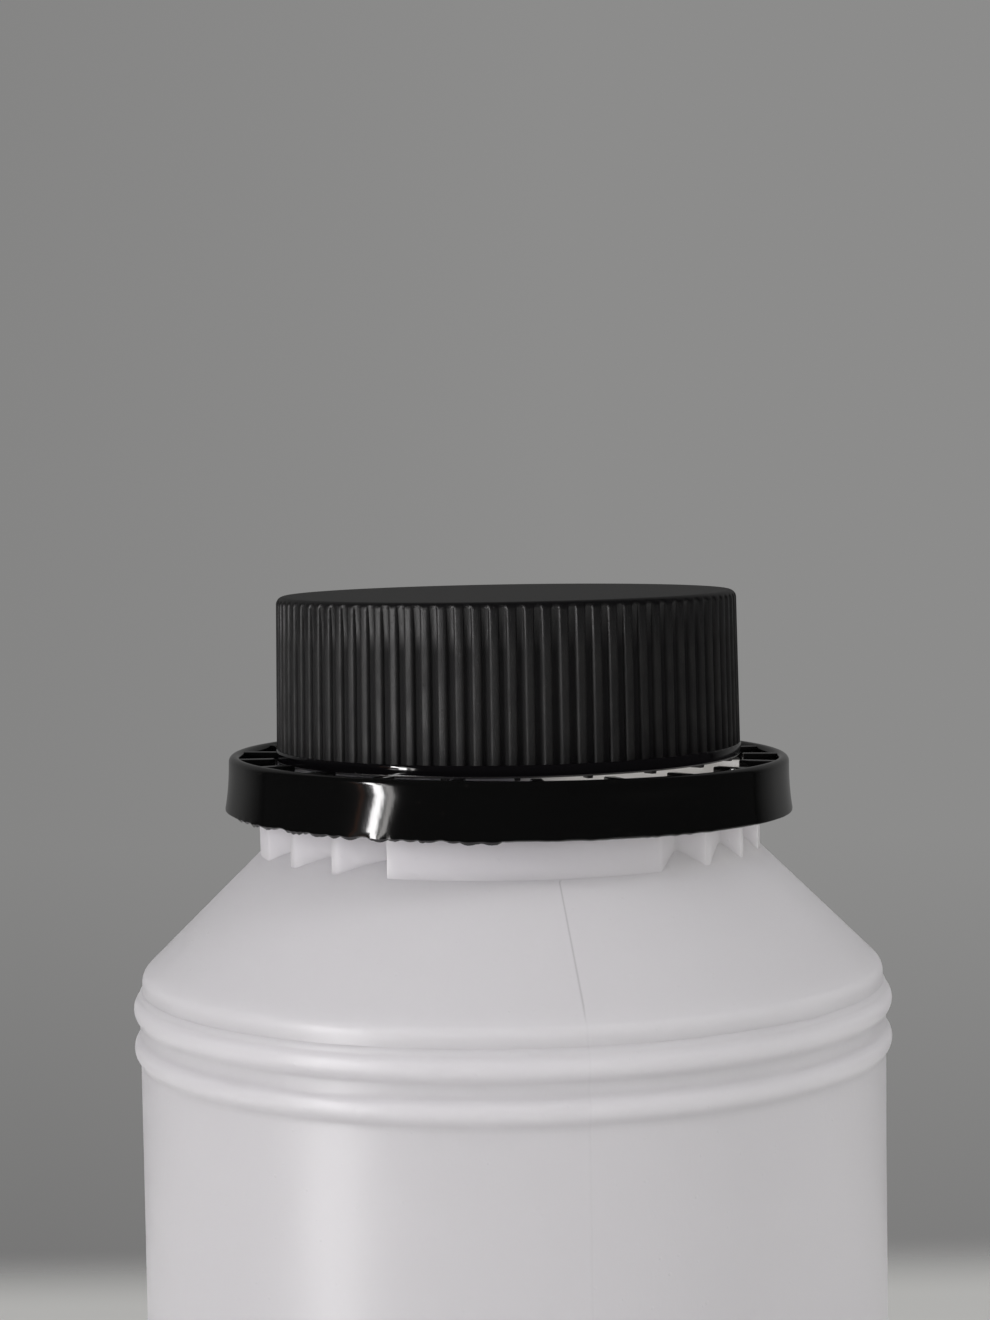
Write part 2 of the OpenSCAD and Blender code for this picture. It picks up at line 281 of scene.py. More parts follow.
def milkyPlastic():  # natural blow-moulded plastic that light soaks through, with painted shade on the collar and a painted glow on the neck's root and collar
    mat, tree, skin = newMaterial("milkyPlastic", {
        "Roughness": 0.4, "IOR": 1.5, "Subsurface Weight": 1.0, "Subsurface Radius": (1.0, 1.0, 1.0),
        "Subsurface Scale": milkyLook["depth"]})
    link = tree.links.new
    grain = placeGroup(tree, skinGroup, {"Grain": 1300.0, "Patch": 70.0, "Stretch": 0.6})
    specks = placeGroup(tree, speckGroup, {"Size": 1900.0, "Share": 0.012, "Stretch": 1.0})
    tone = blendColor(tree, grain.outputs["Patches"], milkyLook["tone"], milkyLook["patchTone"])
    seam = node(tree, "ShaderNodeAttribute", attribute_name="seam")
    line = node(tree, "ShaderNodeMix", data_type="RGBA", blend_type="MULTIPLY")
    link(tone, line.inputs["A"])
    line.inputs["B"].default_value = (milkyLook["seamShade"],) * 3 + (1,)
    link(seam.outputs["Fac"], line.inputs["Factor"])
    place = node(tree, "ShaderNodeTexCoord")
    split = node(tree, "ShaderNodeSeparateXYZ")
    link(place.outputs["Object"], split.inputs[0])
    start = zStep(tree, split.outputs["Z"], milkyLook["collarFrom"], 0.6)
    end = zStep(tree, split.outputs["Z"], milkyLook["collarTo"], 0.2)
    collarZone = node(tree, "ShaderNodeMath", operation="SUBTRACT")  # collar zone mask: painted shade for the ring's shadow on the collar, partly standing in for its deeper plastic
    link(start, collarZone.inputs[0])
    link(end, collarZone.inputs[1])
    # Painted shade: the collar's base colour is darkened under the ring
    shadedCollar = node(tree, "ShaderNodeMix", data_type="RGBA", blend_type="MULTIPLY")
    link(line.outputs["Result"], shadedCollar.inputs["A"])
    shadedCollar.inputs["B"].default_value = (milkyLook["collarShade"],) * 3 + (1,)
    link(collarZone.outputs[0], shadedCollar.inputs["Factor"])
    link(shadedCollar.outputs["Result"], skin.inputs["Base Color"])
    above = zStep(tree, split.outputs["Z"], milkyLook["throatTo"], 1.5)
    # Painted light: the neck's root glows with emission, where the real wall lets light through
    throat = node(tree, "ShaderNodeMath", operation="SUBTRACT")
    link(end, throat.inputs[0])
    link(above, throat.inputs[1])
    near, wide = milkyLook["throatSpan"]  # the painted glow is on the right side only
    right = node(tree, "ShaderNodeMapRange", {"From Min": near, "From Max": wide}, clamp=True)
    link(split.outputs["X"], right.inputs["Value"])
    neck = node(tree, "ShaderNodeMath", operation="MULTIPLY")
    link(throat.outputs[0], neck.inputs[0])
    link(right.outputs[0], neck.inputs[1])
    near, wide = milkyLook["collarSpan"]
    far = node(tree, "ShaderNodeMapRange", {"From Min": near, "From Max": wide,
                                            "To Max": milkyLook["collarGlow"]}, clamp=True)
    link(split.outputs["X"], far.inputs["Value"])
    # Painted light: glow mask over the collar and the neck's root on the right side
    lit = node(tree, "ShaderNodeMath", operation="MULTIPLY_ADD", use_clamp=True)
    link(collarZone.outputs[0], lit.inputs[0])
    link(far.outputs[0], lit.inputs[1])
    link(neck.outputs[0], lit.inputs[2])
    link(blendColor(tree, lit.outputs[0], (0, 0, 0), milkyLook["glowTint"]), skin.inputs["Emission Color"])
    skin.inputs["Emission Strength"].default_value = milkyLook["throatGlow"]
    dull = node(tree, "ShaderNodeMapRange", {"To Max": milkyLook["collarRough"]}, clamp=True)
    link(blendValue(tree, grain.outputs["Patches"], *milkyLook["rough"]), dull.inputs["To Min"])
    link(collarZone.outputs[0], dull.inputs["Value"])
    link(dull.outputs[0], skin.inputs["Roughness"])
    both = node(tree, "ShaderNodeMath", operation="MULTIPLY_ADD")
    link(specks.outputs[0], both.inputs[0])
    both.inputs[1].default_value = milkyLook["speckRise"]
    link(grain.outputs["Height"], both.inputs[2])
    bumped = bumpFrom(tree, both.outputs[0], milkyLook["bump"], milkyLook["bumpDepth"])
    link(bumped.outputs[0], skin.inputs["Normal"])
    return mat


scuffedLook = {
    "clean": (0.003, 0.0027, 0.0033), "dusty": (0.009, 0.0085, 0.008), "speckShare": 0.55, "patchShare": 0.45,
    "bandRough": 0.06, "valleyRough": 0.95, "crestRough": (0.64, 0.5), "topRough": 0.42,
    "speckRise": 0.9, "bump": 0.45, "bumpDepth": 0.00005,
}


def scuffedBlack():  # satin cap plastic, dusty where hands rub the ribs
    mat, tree, skin = newMaterial("scuffedBlack", {"IOR": 1.5, "Specular IOR Level": 0.6})
    link = tree.links.new
    grain = placeGroup(tree, skinGroup, {"Grain": 6500.0, "Patch": 420.0, "Stretch": 0.6})
    specks = placeGroup(tree, speckGroup, {"Size": 5200.0, "Share": 0.35, "Stretch": 0.8})
    rib = node(tree, "ShaderNodeAttribute", attribute_name="crest")
    worn = node(tree, "ShaderNodeAttribute", attribute_name="worn")
    crest = node(tree, "ShaderNodeMath", operation="MULTIPLY")
    link(rib.outputs["Fac"], crest.inputs[0])
    link(worn.outputs["Fac"], crest.inputs[1])
    dusty = node(tree, "ShaderNodeMath", operation="MULTIPLY")
    link(crest.outputs[0], dusty.inputs[0])
    link(grain.outputs["Patches"], dusty.inputs[1])
    speckled = node(tree, "ShaderNodeMath", operation="MULTIPLY")
    link(crest.outputs[0], speckled.inputs[0])
    link(specks.outputs[0], speckled.inputs[1])
    total = node(tree, "ShaderNodeMath", operation="MULTIPLY_ADD", use_clamp=True)
    link(speckled.outputs[0], total.inputs[0])
    total.inputs[1].default_value = scuffedLook["speckShare"]
    smear = node(tree, "ShaderNodeMath", operation="MULTIPLY")
    link(dusty.outputs[0], smear.inputs[0])
    smear.inputs[1].default_value = scuffedLook["patchShare"]
    link(smear.outputs[0], total.inputs[2])
    dust = blendColor(tree, total.outputs[0], scuffedLook["clean"], scuffedLook["dusty"])
    link(dust, skin.inputs["Base Color"])
    band = node(tree, "ShaderNodeAttribute", attribute_name="band")
    # The band under the ribs is polished, the valleys between them stay rough and dark
    polish = node(tree, "ShaderNodeMapRange", {"To Max": scuffedLook["bandRough"]}, clamp=True)
    link(band.outputs["Fac"], polish.inputs["Value"])
    rubbed = node(tree, "ShaderNodeMapRange", {"To Min": scuffedLook["valleyRough"]}, clamp=True)
    link(blendValue(tree, grain.outputs["Patches"], *scuffedLook["crestRough"]), rubbed.inputs["To Max"])
    link(rib.outputs["Fac"], rubbed.inputs["Value"])
    satin = node(tree, "ShaderNodeMapRange", {"To Min": scuffedLook["topRough"]}, clamp=True)
    link(worn.outputs["Fac"], satin.inputs["Value"])
    link(rubbed.outputs[0], satin.inputs["To Max"])
    link(satin.outputs[0], polish.inputs["To Min"])
    link(polish.outputs[0], skin.inputs["Roughness"])
    height = node(tree, "ShaderNodeMath", operation="MULTIPLY_ADD")
    link(specks.outputs[0], height.inputs[0])
    height.inputs[1].default_value = scuffedLook["speckRise"]
    link(grain.outputs["Height"], height.inputs[2])
    smooth = node(tree, "ShaderNodeMath", operation="MULTIPLY")
    link(height.outputs[0], smooth.inputs[0])
    link(blendValue(tree, band.outputs["Fac"], 1.0, 0.0), smooth.inputs[1])
    bumped = bumpFrom(tree, smooth.outputs[0], scuffedLook["bump"], scuffedLook["bumpDepth"])
    link(bumped.outputs[0], skin.inputs["Normal"])
    return mat


glossLook = {"clean": (0.0025, 0.0025, 0.0025), "dusty": (0.009, 0.008, 0.0075), "rough": (0.07, 0.11),
             "bump": 0.08, "bumpDepth": 0.0001}


def glossBlack():  # smooth moulded ring
    mat, tree, skin = newMaterial("glossBlack", {"IOR": 1.5})
    link = tree.links.new
    grain = placeGroup(tree, skinGroup, {"Grain": 500.0, "Patch": 110.0, "Stretch": 0.5})
    specks = placeGroup(tree, speckGroup, {"Size": 2200.0, "Share": 0.01, "Stretch": 1.0})
    dust = blendColor(tree, specks.outputs[0], glossLook["clean"], glossLook["dusty"])
    link(dust, skin.inputs["Base Color"])
    link(blendValue(tree, grain.outputs["Patches"], *glossLook["rough"]), skin.inputs["Roughness"])
    bumped = bumpFrom(tree, grain.outputs["Height"], glossLook["bump"], glossLook["bumpDepth"])
    link(bumped.outputs[0], skin.inputs["Normal"])
    return mat


foamLook = {"tone": (0.72, 0.72, 0.69), "patchTone": (0.8, 0.8, 0.78), "rough": (0.7, 0.85),
            "bump": 0.5, "bumpDepth": 0.0002}


def foamWhite():  # closed-cell foam of the seal
    mat, tree, skin = newMaterial("foamWhite", {"IOR": 1.45})
    link = tree.links.new
    grain = placeGroup(tree, skinGroup, {"Grain": 2200.0, "Patch": 200.0, "Stretch": 1.0})
    tone = blendColor(tree, grain.outputs["Patches"], foamLook["tone"], foamLook["patchTone"])
    link(tone, skin.inputs["Base Color"])
    link(blendValue(tree, grain.outputs["Patches"], *foamLook["rough"]), skin.inputs["Roughness"])
    bumped = bumpFrom(tree, grain.outputs["Height"], foamLook["bump"], foamLook["bumpDepth"])
    link(bumped.outputs[0], skin.inputs["Normal"])
    return mat


milky = milkyPlastic()
scuffed = scuffedBlack()
gloss = glossBlack()
foam = foamWhite()
print("materials ready")

# Bottle
bottle = {
    "bodyR": 46.65, "bodyH": 148.4, "wall": 1.3, "heelR": 5.0, "footW": 3.5, "baseRise": 3.0,
    "landStep": 0.35, "shoulderR": 2.0, "slope": 44.3,
    "beadDrop": 4.1, "beadPitch": 4.83, "beadSpan": 3.0, "beadRise": 0.75, "beadCount": 2,
    "collarR": 31.28, "collarH": 9.45, "flangeT": 1.8, "flangeR": 31.5, "toothDepth": 2.1, "toothLand": 0.9,
    "toothPitch": 15.0, "groupAz": 37.5, "partingAz": 10.0, "collarWall": 2.0, "shelfWall": 2.2,
    "neckR": 24.3, "mouthR": 21.5, "mouthZ": 191.596, "threadZ": 179.197, "threadPitch": 6.0,
    "threadTurns": 1.5, "threadH": 1.5, "crestHalf": 0.8, "lead": 40.0,
    "columns": 480, "seamRise": 0.035, "seamHalf": 0.25, "seamFaint": 0.12,
    "waveCount": 6, "waveRise": (0.02, 0.05), "waveSeed": 7,
}
landR = bottle["bodyR"] - bottle["landStep"]
slopeTan = math.tan(math.radians(bottle["slope"]))
collarZ = bottle["bodyH"] + (landR - bottle["collarR"]) * slopeTan
shelfZ = collarZ + bottle["collarH"]
flangeZ = shelfZ - bottle["flangeT"]
rootR = bottle["collarR"] - bottle["toothDepth"]


def coneZ(r):
    return bottle["bodyH"] + (landR - r) * slopeTan


def toothList():  # tip, foot and crest's end of each tooth's notch
    out = []
    for side in (-90, 90):
        for way in (-1, 1):
            for i in (-1, 0, 1):
                place = side + way * bottle["groupAz"] + i * bottle["toothPitch"]
                az = bottle["partingAz"] + place
                tip = at(az, bottle["collarR"])
                if -90 < place < 0 or place > 90:
                    foot = at(az - 0.12, rootR)
                else:
                    pull = at(bottle["partingAz"] + (90 if place > 0 else -90), 1)
                    s = bottle["collarR"] * abs(math.sin(math.radians(place)))
                    foot = tip - (s - math.sqrt(s * s - bottle["collarR"] ** 2 + rootR ** 2)) * pull
                crestAz = az - bottle["toothPitch"] + math.degrees(bottle["toothLand"] / bottle["collarR"])
                out.append((az, tip, foot, at(crestAz, bottle["collarR"]), crestAz))
    return out


teeth = toothList()


def rayHit(az, p, q):  # radius at which the ray at az meets the line p-q
    d = at(az, 1)
    e = q - p
    det = d.x * -e.y + d.y * e.x
    return (p.x * -e.y + p.y * e.x) / det if abs(det) > 1e-9 else bottle["collarR"]


def toothR(az):
    for tipAz, tip, foot, start, crestAz in teeth:
        a = (az - tipAz + 180) % 360 - 180
        if crestAz - tipAz < a < -0.001:
            footA = (azOf(foot) - tipAz + 180) % 360 - 180
            r = rayHit(az, start, foot) if a < footA else rayHit(az, foot, tip)
            return min(max(r, rootR + 0.15), bottle["collarR"])
    return bottle["collarR"]


def bottleRows():
    t = bottle["wall"]
    dishR = bottle["bodyR"] - bottle["heelR"] - bottle["footW"] - 2 * bottle["baseRise"]
    footR = bottle["bodyR"] - bottle["heelR"] - bottle["footW"]
    beadR = (bottle["beadSpan"] ** 2 / 4 + bottle["beadRise"] ** 2) / (2 * bottle["beadRise"])
    half = math.degrees(math.asin(bottle["beadSpan"] / 2 / beadR))
    rows = [(0, bottle["baseRise"]), (dishR * 0.5, bottle["baseRise"]), (dishR, bottle["baseRise"])]
    rows += [(dishR + (footR - dishR) * k, bottle["baseRise"] * (1 - k)) for k in (0.12, 0.5, 0.88)]
    rows += [(footR + 0.4, 0), (bottle["bodyR"] - bottle["heelR"], 0)]
    rows += arc(bottle["bodyR"] - bottle["heelR"], bottle["heelR"], bottle["heelR"], -80, 0, 8)
    topBead = bottle["bodyH"] - bottle["beadDrop"]
    beads = [topBead - i * bottle["beadPitch"] for i in range(bottle["beadCount"])][::-1]
    low = beads[0] - bottle["beadSpan"] / 2 - 0.9
    rows += [(bottle["bodyR"], bottle["heelR"] + (low - bottle["heelR"]) * k / 12) for k in range(1, 13)]
    for z in beads:  # a bead's arc between two small hollow fillets
        rows += [(bottle["bodyR"] + 0.015, z - bottle["beadSpan"] / 2 - 0.35),
                 (bottle["bodyR"] + 0.08, z - bottle["beadSpan"] / 2 - 0.08)]
        rows += arc(bottle["bodyR"] + bottle["beadRise"] - beadR, z, beadR, -half * 0.8, half * 0.8, 8)
        rows += [(bottle["bodyR"] + 0.08, z + bottle["beadSpan"] / 2 + 0.08),
                 (bottle["bodyR"] + 0.015, z + bottle["beadSpan"] / 2 + 0.35)]
    turn = 90 - bottle["slope"]
    arcZ = bottle["bodyH"] - bottle["shoulderR"] * math.tan(math.radians(turn / 2))
    rows += [(landR + 0.05, beads[-1] + bottle["beadSpan"] / 2 + 0.75), (landR, arcZ)]
    rows += arc(landR - bottle["shoulderR"], arcZ, bottle["shoulderR"], 0, turn, 8)[1:]
    top = rows[-1]
    rows += [(top[0] + (bottle["collarR"] + 0.3 - top[0]) * k / 8, 0) for k in range(1, 9)]
    rows = [(r, z if z or i < 9 else coneZ(r)) for i, (r, z) in enumerate(rows)]
    first = len(rows)
    rows += [(bottle["collarR"], collarZ + (flangeZ - collarZ) * k / 5) for k in range(6)]
    collar = range(first, len(rows))
    rows += [(bottle["flangeR"] - 0.1, flangeZ), (bottle["flangeR"], flangeZ + 0.1),
             (bottle["flangeR"], shelfZ - 0.35), (bottle["flangeR"] - 0.1, shelfZ - 0.1),
             (bottle["flangeR"] - 0.35, shelfZ), (bottle["neckR"] + 0.5, shelfZ),
             (bottle["neckR"] + 0.15, shelfZ + 0.15), (bottle["neckR"], shelfZ + 0.5)]
    rows += [(bottle["neckR"], shelfZ + (bottle["mouthZ"] - shelfZ) * k / 6) for k in range(1, 6)]
    rows += [(bottle["neckR"], bottle["mouthZ"] - 0.4),
             (bottle["neckR"] - 0.12, bottle["mouthZ"] - 0.12),
             (bottle["neckR"] - 0.4, bottle["mouthZ"]), (bottle["mouthR"] + 0.3, bottle["mouthZ"]),
             (bottle["mouthR"] + 0.08, bottle["mouthZ"] - 0.08),
             (bottle["mouthR"], bottle["mouthZ"] - 0.3)]
    shelfSum = bottle["neckR"] + shelfZ - bottle["shelfWall"] * math.sqrt(2)
    inR = rootR - bottle["collarWall"]
    rows += [(bottle["mouthR"], bottle["mouthZ"] - 6), (bottle["mouthR"], shelfSum - bottle["mouthR"]),
             (inR, shelfSum - inR)]
    lean = math.radians(bottle["slope"])
    inTop = (landR - bottle["shoulderR"] + (bottle["shoulderR"] - t) * math.sin(lean),
             arcZ + (bottle["shoulderR"] - t) * math.cos(lean))
    lowZ = inTop[1] + (inTop[0] - inR) * slopeTan
    rows += [(inR, (shelfSum - inR + lowZ) / 2), (inR, lowZ)]
    rows += [(inR + (inTop[0] - inR) * k / 6, lowZ + (inTop[1] - lowZ) * k / 6) for k in range(1, 7)]
    rows += [(landR - t, arcZ)]
    grooveR = (bottle["beadSpan"] ** 2 / 4 + bottle["beadRise"] ** 2 / 4) / bottle["beadRise"]
    wide = math.degrees(math.asin(bottle["beadSpan"] / 2 / grooveR))
    for z in beads[::-1]:
        rows += arc(bottle["bodyR"] - t + bottle["beadRise"] / 2 - grooveR, z, grooveR, wide, -wide, 6)
    rows += [(bottle["bodyR"] - t, bottle["heelR"] + (low - bottle["heelR"]) * k / 8) for k in range(8, -1, -1)]
    rows += arc(bottle["bodyR"] - bottle["heelR"], bottle["heelR"], bottle["heelR"] - t, 0, -90, 6)[1:]
    rows += [(footR + 0.65, t), (dishR + 0.65, bottle["baseRise"] + t), (dishR * 0.5, bottle["baseRise"] + t),
             (0, bottle["baseRise"] + t)]
    return rows, collar


def shapeBottle():
    rows, collar = bottleRows()
    bm, tag = spinRows(rows, bottle["columns"], 16, bottle["partingAz"])
    seamMark = bm.verts.layers.float.new("seam")
    lastOut = collar[-1] + 3
    seam = 360 / bottle["columns"]
    wave = random.Random(bottle["waveSeed"])
    waves = [(wave.randint(2, 5), wave.uniform(0, 360), wave.uniform(*bottle["waveRise"]), wave.uniform(0, 6))
             for _ in range(bottle["waveCount"])]
    for v in bm.verts:
        row, z = v[tag], v.co.z
        az = azOf(v.co)
        r = math.hypot(v.co.x, v.co.y)
        if r < 0.01:
            continue
        if row in collar:
            for tipAz, tip, foot, start, crestAz in teeth:  # the column beside a steep step closes up to it
                a = (az - tipAz + 180) % 360 - 180
                if -seam - 0.01 < a < -seam + 0.01 and abs(azOf(foot) - tipAz) < 1:
                    az = tipAz - 0.12
            r = toothR(az)
            share = (row - collar[0]) / (len(collar) - 1)
            low = coneZ(r)
            v.co = at(az, r, low + (flangeZ - low) * share)
            continue
        if 8 < row < collar[0] or row > lastOut + 20:
            if bottle["heelR"] < z < bottle["bodyH"] - 12:  # a blown wall is never quite round
                swell = sum(h * math.sin(math.radians(n * az + s) + z * 0.03 * w / 6) for n, s, h, w in waves)
                r += swell * min(1, z / 40)
        d = (az - bottle["partingAz"] + 90) % 180 - 90
        if 5 < row < lastOut:  # seam of the mould halves, front and back
            if abs(d) < 0.5 * seam:
                r += bottle["seamRise"]
                v[seamMark] = 1.0 if z > bottle["bodyH"] + 2 else bottle["seamFaint"]
            elif abs(d) < 2.5 * seam:
                away = bottle["seamHalf"] * (1 if abs(d) < 1.5 * seam else 1.8)
                az += (away - abs(d)) * (1 if d > 0 else -1)
        v.co = at(az, r, z)
    windThread(bm, bottle["neckR"], bottle["neckR"] + bottle["threadH"], bottle["threadZ"],
               bottle["threadPitch"], bottle["threadTurns"], bottle["crestHalf"], bottle["lead"])
    return makePiece(bm, "bottleShell", "bottle_body", milky, 32, "bottle")


bottleShell = shapeBottle()

# Cap
cap = {
    "rimR": 29.0, "draft": 0.87, "skirtZ": 174.607, "ribs": 88, "ribR": 0.66, "ribH": 0.55,
    "bandH": 1.5, "bandLip": 0.1, "edgeR": 0.95, "wornTop": 191.6, "boreR": 26.3, "ceilingZ": 193.196,
    "threadZ": 176.697, "threadCrest": 24.8, "threadPitch": 6.0, "threadTurns": 1.5,
    "crestHalf": 0.8, "lead": 40.0, "stubH": 0.3, "stubW": 0.8, "stubL": 1.6,
    "fins": 21, "finAz": 5.8, "turned": -4.1, "ribAz": 0.87, "fadeTop": 0.35, "fadeRun": 1.3,
}
ribColumns = [-0.65, -0.53, -0.38, -0.2, 0.0, 0.2, 0.38, 0.53, 0.65, 1.035]  # across one pitch, from the crest


def skirtR(z):
    return cap["rimR"] - (z - cap["skirtZ"]) * math.tan(math.radians(cap["draft"]))


def edgeDrop(z, r):  # how far a rounded top edge stands back at a height
    d = z - (capTop - r)
    return r - math.sqrt(max(r * r - d * d, 0)) if d > 0 else 0.0


def shapeCap():
    z0 = cap["skirtZ"]
    bandTop = z0 + cap["bandH"]
    rows = [(0, cap["ceilingZ"]), (12, cap["ceilingZ"]), (cap["boreR"] - 1.2, cap["ceilingZ"]),
            (cap["boreR"] - 0.3, cap["ceilingZ"] - 0.25), (cap["boreR"], cap["ceilingZ"] - 1.1)]
    rows += [(cap["boreR"], z0 + (cap["ceilingZ"] - z0) * k) for k in (0.6, 0.3)]
    rows += [(cap["boreR"], z0 + 0.3), (cap["boreR"] + 0.3, z0), (cap["rimR"] + cap["bandLip"] - 0.2, z0),
             (cap["rimR"] + cap["bandLip"], z0 + 0.2), (cap["rimR"] + cap["bandLip"], z0 + 0.3),
             (cap["rimR"] + cap["bandLip"] - 0.02, bandTop - 0.35),
             (cap["rimR"] + cap["bandLip"] - 0.02, bandTop - 0.25),
             (cap["rimR"] + cap["bandLip"] - 0.15, bandTop - 0.03)]
    firstRib = len(rows)
    sideZ = [bandTop, bandTop + 0.12, bandTop + 0.35, bandTop + 1.0]
    sideZ += [bandTop + 1.0 + (capTop - 2.0 - bandTop) * k / 7 for k in range(1, 8)]
    sideZ += [capTop - cap["edgeR"] * (1 - math.sin(math.radians(a))) for a in (8, 20, 32, 42, 50)]
    rows += [(skirtR(z), z) for z in sideZ]
    lastRib = len(rows) - 1
    outerR = skirtR(capTop)
    rows += [(outerR - cap["edgeR"] * (1 - math.cos(math.radians(a))),
              capTop - cap["edgeR"] * (1 - math.sin(math.radians(a))))
             for a in (58, 66, 74, 82, 90)]
    rows += [(outerR - 2.2, capTop), (18, capTop - 0.03), (9, capTop - 0.05), (0, capTop - 0.06)]
    columns = cap["ribs"] * len(ribColumns)
    bm, tag = spinRows(rows, columns, 22, 0)
    pitch = 360 / cap["ribs"]
    crestMark = bm.verts.layers.float.new("crest")
    wornMark = bm.verts.layers.float.new("worn")
    bandMark = bm.verts.layers.float.new("band")
    for v in bm.verts:
        row = v[tag]
        r = math.hypot(v.co.x, v.co.y)
        if r < 0.01:
            continue
        az = azOf(v.co)
        k = round(az / pitch * len(ribColumns))
        rib, part = divmod(k + 4, len(ribColumns))
        t = ribColumns[part]
        if firstRib <= row <= lastRib:
            z = v.co.z
            outer = skirtR(z) - edgeDrop(z, cap["edgeR"])
            # Ribs run out under the top edge
            fade = min(1.0, max(0.0, (capTop - cap["fadeTop"] - z) / cap["fadeRun"])) ** 0.7
            core = outer - cap["ribH"] * fade
            bump = max(0.0, 1 - (abs(t) / cap["ribR"]) ** 5) ** 0.6  # rubbed flat on the crest
            rise = max(0.0, outer - core)
            v.co = at(rib * pitch + cap["ribAz"] + math.degrees(t / cap["rimR"]), core + rise * bump, z)
            v[crestMark] = bump
            v[wornMark] = min(1.0, max(0.0, (cap["wornTop"] - z) / 0.7))
        elif row > firstRib - 5:
            v.co = at(rib * pitch + cap["ribAz"] + math.degrees(t / cap["rimR"]), r, v.co.z)
            v[crestMark] = 1.0 if row > lastRib else 0.0
            v[bandMark] = 1.0 if row < firstRib else 0.0
    stubs = bmesh.new()
    for i in range(cap["fins"]):  # what is left of the snapped bridges
        az = cap["finAz"] + cap["turned"] + i * 360 / cap["fins"]
        stub = bmesh.ops.create_cube(stubs, size=1)["verts"]
        bmesh.ops.scale(stubs, vec=(cap["stubW"], cap["stubL"], cap["stubH"] + 0.3), verts=stub)
        for v in stub:
            if v.co.z < 0:
                v.co.x *= 0.8
                v.co.y *= 0.9
        bmesh.ops.translate(stubs, vec=(0, -(cap["rimR"] - 0.1 - cap["stubL"] / 2),
                                        z0 + 0.15 - cap["stubH"] / 2), verts=stub)
        bmesh.ops.rotate(stubs, cent=(0, 0, 0), matrix=Matrix.Rotation(math.radians(az), 3, "Z"), verts=stub)
    joinPart(bm, stubs)
    windThread(bm, cap["boreR"], cap["threadCrest"], cap["threadZ"], cap["threadPitch"], cap["threadTurns"],
               cap["crestHalf"], cap["lead"])
    return makePiece(bm, "capShell", "cap_body", scuffed, 40, "screw_cap")


capShell = shapeCap()

# Tamper ring
ring = {
    "inR": 33.5, "outR": 35.0, "height": 6.85, "flare": 0.45, "tilt": 0.85, "rimTop": 1.9,
    "fins": 21, "finAz": 5.8, "finT": 1.45, "finH": 1.7, "finInR": 29.4, "finEdge": 0.18,
    "dogW": 1.5, "dogH": 1.7, "dogGap": 0.6,
    "flashFrom": -68.0, "flashTo": -2.0, "flash": 0.45, "flashSeed": 31, "flashElsewhere": 0.18,
    "flashCount": 26, "strayCount": 90, "columns": 720,
}


def flashDepth(az, dice):  # ragged lip of flash along the lower edge
    inside = ring["flashFrom"] < az < ring["flashTo"]
    share = 1.0 if inside else ring["flashElsewhere"]
    total = 0.0
    for centre, wide, tall in dice:
        d = abs((az - centre + 180) % 360 - 180)
        if d < wide:
            total = max(total, tall * (0.5 + 0.5 * math.cos(math.pi * d / wide)) ** 0.6)
    return total * ring["flash"] * share


